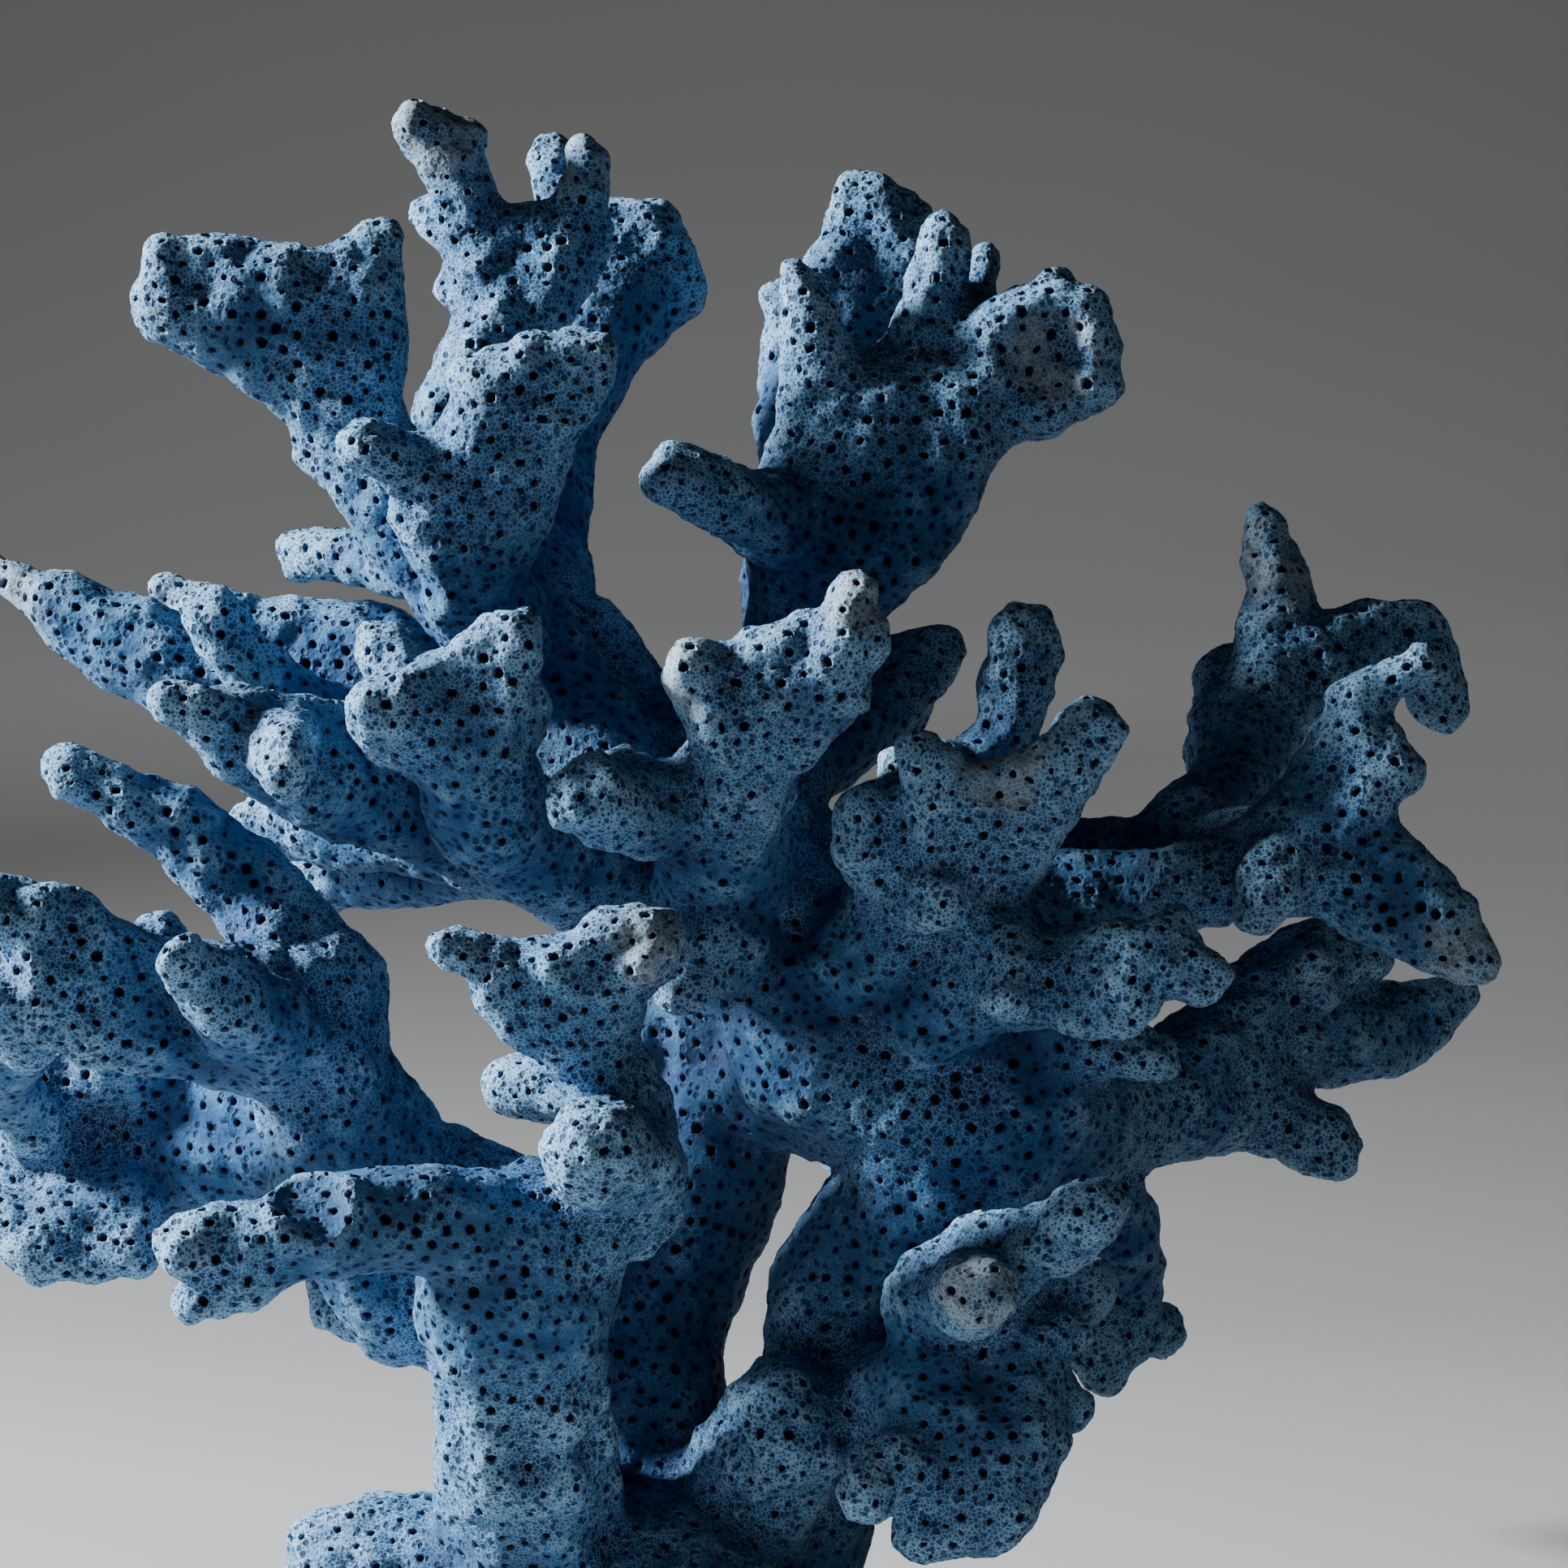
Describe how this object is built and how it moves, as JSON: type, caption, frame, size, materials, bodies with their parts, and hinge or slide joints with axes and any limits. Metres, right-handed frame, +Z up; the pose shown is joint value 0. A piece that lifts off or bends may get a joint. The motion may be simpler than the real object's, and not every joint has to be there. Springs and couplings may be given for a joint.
{
  "type": "branching coral colony",
  "caption": "Branching blue coral colony with porous skin, blunt fingers and fan-like palms, cut off flat at its base.",
  "frame": {"origin": "on the flat sawn base, under the trunk", "axes": "+Z up out of the base, +X to the right and -Y toward someone who looks at the front"},
  "size_m": [0.1385, 0.0939, 0.1353],
  "materials": {
    "trunk_coral": "matte porous coral, blue",
    "right_trunk_coral": "matte porous coral, blue",
    "front_left_limb_coral": "matte porous coral, blue",
    "left_limb_coral": "matte porous coral, blue",
    "club_limb_coral": "matte porous coral, blue",
    "upper_left_limb_coral": "matte porous coral, blue",
    "top_left_limb_coral": "matte porous coral, blue",
    "top_right_limb_coral": "matte porous coral, blue",
    "centre_limb_coral": "matte porous coral, blue",
    "right_limb_coral": "matte porous coral, blue",
    "right_rear_limb_coral": "matte porous coral, blue",
    "right_low_limb_coral": "matte porous coral, blue",
    "front_right_limb_coral": "matte porous coral, blue",
    "lower_rear_limb_coral": "matte porous coral, blue",
    "upper_rear_limb_coral": "matte porous coral, blue"
  },
  "bodies": {
    "root": {"trunk": "trunk_coral", "right_trunk": "right_trunk_coral", "front_left_limb": "front_left_limb_coral", "left_limb": "left_limb_coral", "club_limb": "club_limb_coral", "upper_left_limb": "upper_left_limb_coral", "top_left_limb": "top_left_limb_coral", "top_right_limb": "top_right_limb_coral", "centre_limb": "centre_limb_coral", "right_limb": "right_limb_coral", "right_rear_limb": "right_rear_limb_coral", "right_low_limb": "right_low_limb_coral", "front_right_limb": "front_right_limb_coral", "lower_rear_limb": "lower_rear_limb_coral", "upper_rear_limb": "upper_rear_limb_coral"}
  },
  "joints": []
}
